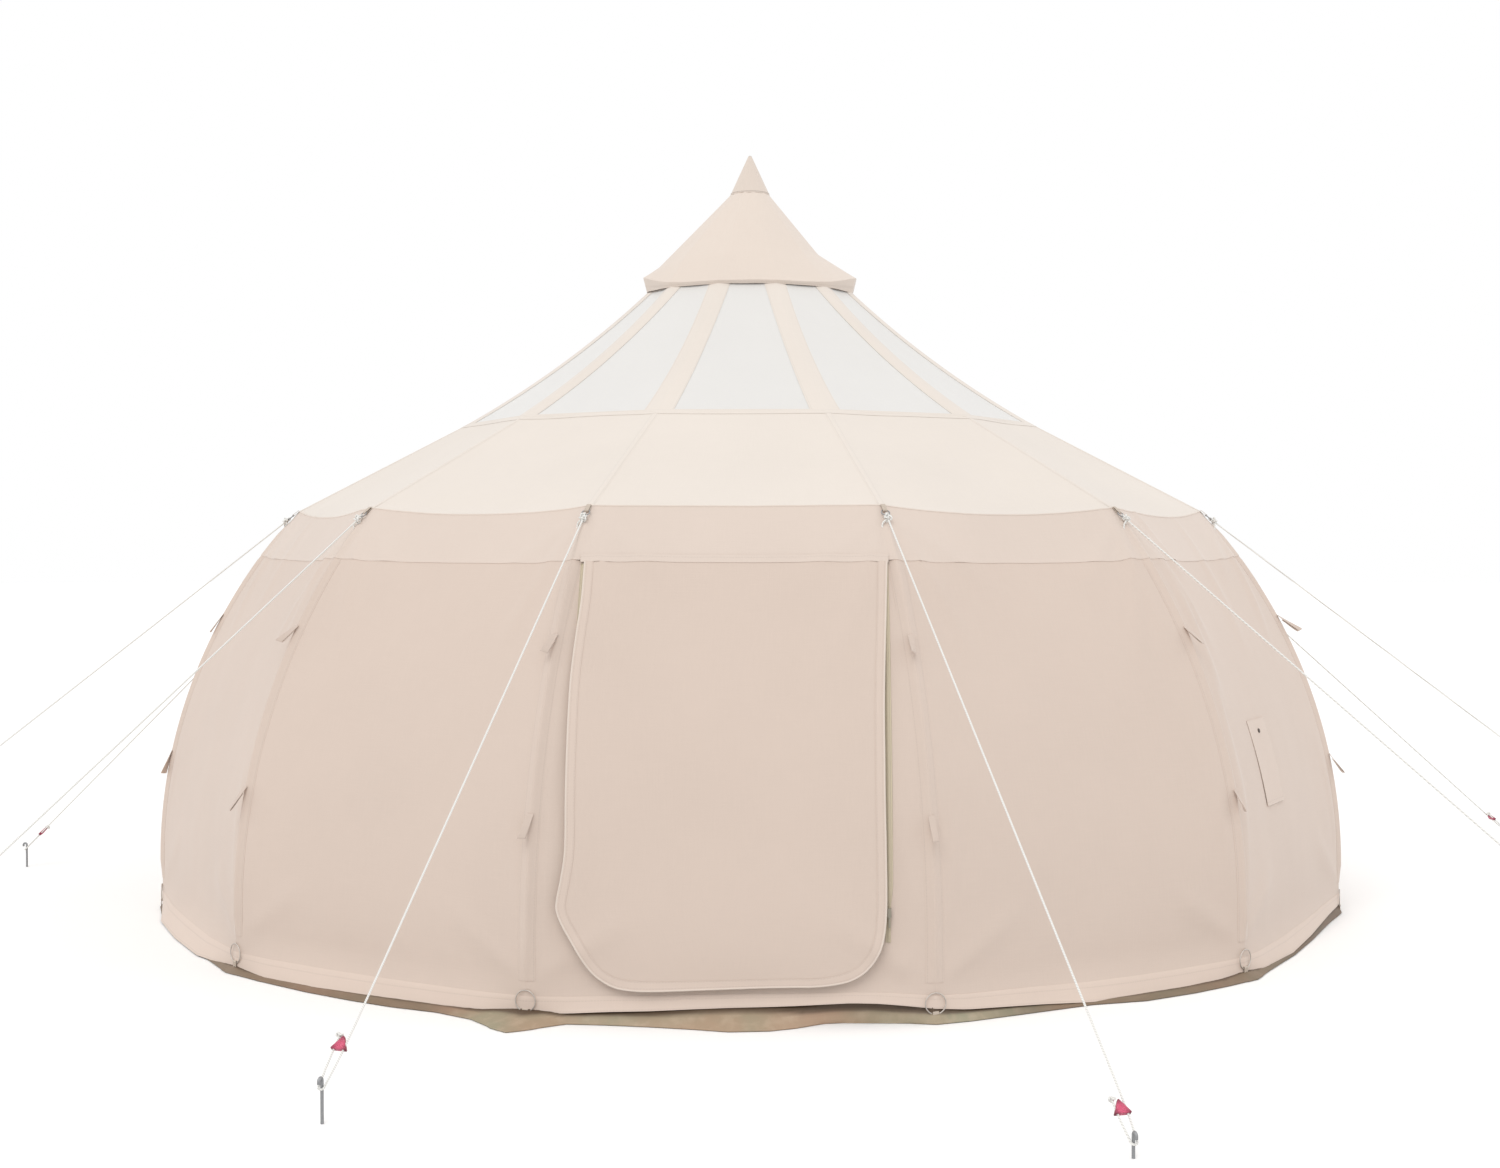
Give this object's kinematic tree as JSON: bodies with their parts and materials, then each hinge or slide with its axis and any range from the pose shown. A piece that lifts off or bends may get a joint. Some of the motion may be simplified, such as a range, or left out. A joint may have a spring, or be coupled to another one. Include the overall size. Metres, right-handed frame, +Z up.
{
  "type": "bell tent",
  "caption": "Round-plan bell tent with bowed canvas walls, a window band in the roof, a rain cap, a roll-up door and guy lines.",
  "frame": {"origin": "on the ground under the centre pole, on the groundsheet's underside", "axes": "+Z up along the centre pole; the door panel faces -Y; +X to the right seen from outside the door"},
  "size_m": [7.5934, 7.4083, 3.212],
  "materials": {
    "canvas": "woven cotton, matte",
    "clear_film": "clear flexible sheet",
    "groundsheet": "coated woven sheet",
    "webbing": "woven tape",
    "rope": "braided cord",
    "mesh": "fine net",
    "steel": "galvanised",
    "runner": "moulded, slightly clear",
    "rubber": "matte",
    "pole_head": "turned",
    "zip_tape": "woven tape with teeth",
    "slider": "cast",
    "button": "dark"
  },
  "bodies": {
    "tent": {"groundsheet_floor": "groundsheet", "groundsheet_walls": "groundsheet", "wall_panels": "canvas", "wall_panel_cord_port": "canvas", "front_wall_sides": "canvas", "door_sill": "canvas", "eave_band": "canvas", "roof_panels": "canvas", "roof_windows": "clear_film", "roof_ribs": "canvas", "vent_cone": "canvas", "centre_pole_lower": "steel", "centre_pole_middle": "steel", "centre_pole_upper": "steel", "centre_pole_spigots": "steel", "centre_pole_foot": "rubber", "centre_pole_head": "pole_head", "wall_poles_lower": "steel", "wall_poles_upper": "steel", "wall_pole_fittings": "steel", "wall_pole_sleeves": "canvas", "door_header": "canvas", "door_zips": "zip_tape", "eave_rings": "steel", "base_rings": "steel", "webbing_loops": "webbing", "wall_tie_tabs": "canvas", "guy_rope_front_left": "rope", "guy_rope_front_right": "rope", "guy_rope_right_front": "rope", "guy_rope_right_middle": "rope", "guy_rope_right_rear": "rope", "guy_rope_rear_right_side": "rope", "guy_rope_rear_right": "rope", "guy_rope_rear_left": "rope", "guy_rope_rear_left_side": "rope", "guy_rope_left_rear": "rope", "guy_rope_left_middle": "rope", "guy_rope_left_front": "rope", "guy_pegs": "steel"},
    "door_flap": {"door_flap": "canvas"},
    "door_screen": {"door_screen": "mesh"},
    "zip_slider_left": {"zip_slider_left": "slider"},
    "zip_slider_right": {"zip_slider_right": "slider"},
    "rain_cap": {"rain_cap": "canvas", "cap_tip": "canvas"},
    "cord_port_flap": {"cord_port_flap": "canvas", "cord_port_button": "button"},
    "runner_front_left": {"guy_runner_front_left": "runner"},
    "runner_front_right": {"guy_runner_front_right": "runner"},
    "runner_right_front": {"guy_runner_right_front": "runner"},
    "runner_right_middle": {"guy_runner_right_middle": "runner"},
    "runner_right_rear": {"guy_runner_right_rear": "runner"},
    "runner_rear_right_side": {"guy_runner_rear_right_side": "runner"},
    "runner_rear_right": {"guy_runner_rear_right": "runner"},
    "runner_rear_left": {"guy_runner_rear_left": "runner"},
    "runner_rear_left_side": {"guy_runner_rear_left_side": "runner"},
    "runner_left_rear": {"guy_runner_left_rear": "runner"},
    "runner_left_middle": {"guy_runner_left_middle": "runner"},
    "runner_left_front": {"guy_runner_left_front": "runner"}
  },
  "joints": [
    {"name": "door_flap_swing", "type": "hinge", "parent": "tent", "child": "door_flap", "pos_m": [0, -2.03752, 1.444], "axis": [-1, 0, 0], "range_deg": [0, 75]},
    {"name": "door_screen_swing", "type": "hinge", "parent": "tent", "child": "door_screen", "pos_m": [0, -2.02514, 1.438], "axis": [1, 0, 0], "range_deg": [0, 80]},
    {"name": "zip_left_travel", "type": "hinge", "parent": "tent", "child": "zip_slider_left", "pos_m": [0, -0.22762, 0.2], "axis": [-1, 0, 0], "range_deg": [0, 30]},
    {"name": "zip_right_travel", "type": "hinge", "parent": "tent", "child": "zip_slider_right", "pos_m": [0, -0.22762, 0.2], "axis": [-1, 0, 0], "range_deg": [0, 30]},
    {"name": "rain_cap_lift", "type": "slide", "parent": "tent", "child": "rain_cap", "axis": [0, 0, 1], "range_m": [0, 0.6]},
    {"name": "cord_port_flap_swing", "type": "hinge", "parent": "tent", "child": "cord_port_flap", "pos_m": [2.00563, -1.15795, 0.858], "axis": [-0.5, -0.866, 0], "range_deg": [0, 90]},
    {"name": "runner_front_left_slide", "type": "slide", "parent": "tent", "child": "runner_front_left", "axis": [-0.2309, -0.6967, -0.6792], "range_m": [0, 0.04]},
    {"name": "runner_front_right_slide", "type": "slide", "parent": "tent", "child": "runner_front_right", "axis": [0.2185, -0.73, -0.6475], "range_m": [0, 0.04]},
    {"name": "runner_right_front_slide", "type": "slide", "parent": "tent", "child": "runner_right_front", "axis": [0.5697, -0.5697, -0.5923], "range_m": [0, 0.04]},
    {"name": "runner_right_middle_slide", "type": "slide", "parent": "tent", "child": "runner_right_middle", "axis": [0.7644, -0.2048, -0.6114], "range_m": [0, 0.04]},
    {"name": "runner_right_rear_slide", "type": "slide", "parent": "tent", "child": "runner_right_rear", "axis": [0.7478, 0.1713, -0.6415], "range_m": [0, 0.04]},
    {"name": "runner_rear_right_side_slide", "type": "slide", "parent": "tent", "child": "runner_rear_right_side", "axis": [0.5582, 0.5384, -0.6313], "range_m": [0, 0.04]},
    {"name": "runner_rear_right_slide", "type": "slide", "parent": "tent", "child": "runner_rear_right", "axis": [0.184, 0.7411, -0.6457], "range_m": [0, 0.04]},
    {"name": "runner_rear_left_slide", "type": "slide", "parent": "tent", "child": "runner_rear_left", "axis": [-0.1994, 0.7442, -0.6375], "range_m": [0, 0.04]},
    {"name": "runner_rear_left_side_slide", "type": "slide", "parent": "tent", "child": "runner_rear_left_side", "axis": [-0.569, 0.5295, -0.6291], "range_m": [0, 0.04]},
    {"name": "runner_left_rear_slide", "type": "slide", "parent": "tent", "child": "runner_left_rear", "axis": [-0.6879, -0.1095, -0.7175], "range_m": [0, 0.04]},
    {"name": "runner_left_middle_slide", "type": "slide", "parent": "tent", "child": "runner_left_middle", "axis": [-0.7523, -0.2016, -0.6272], "range_m": [0, 0.04]},
    {"name": "runner_left_front_slide", "type": "slide", "parent": "tent", "child": "runner_left_front", "axis": [-0.5484, -0.5484, -0.6313], "range_m": [0, 0.04]}
  ]
}
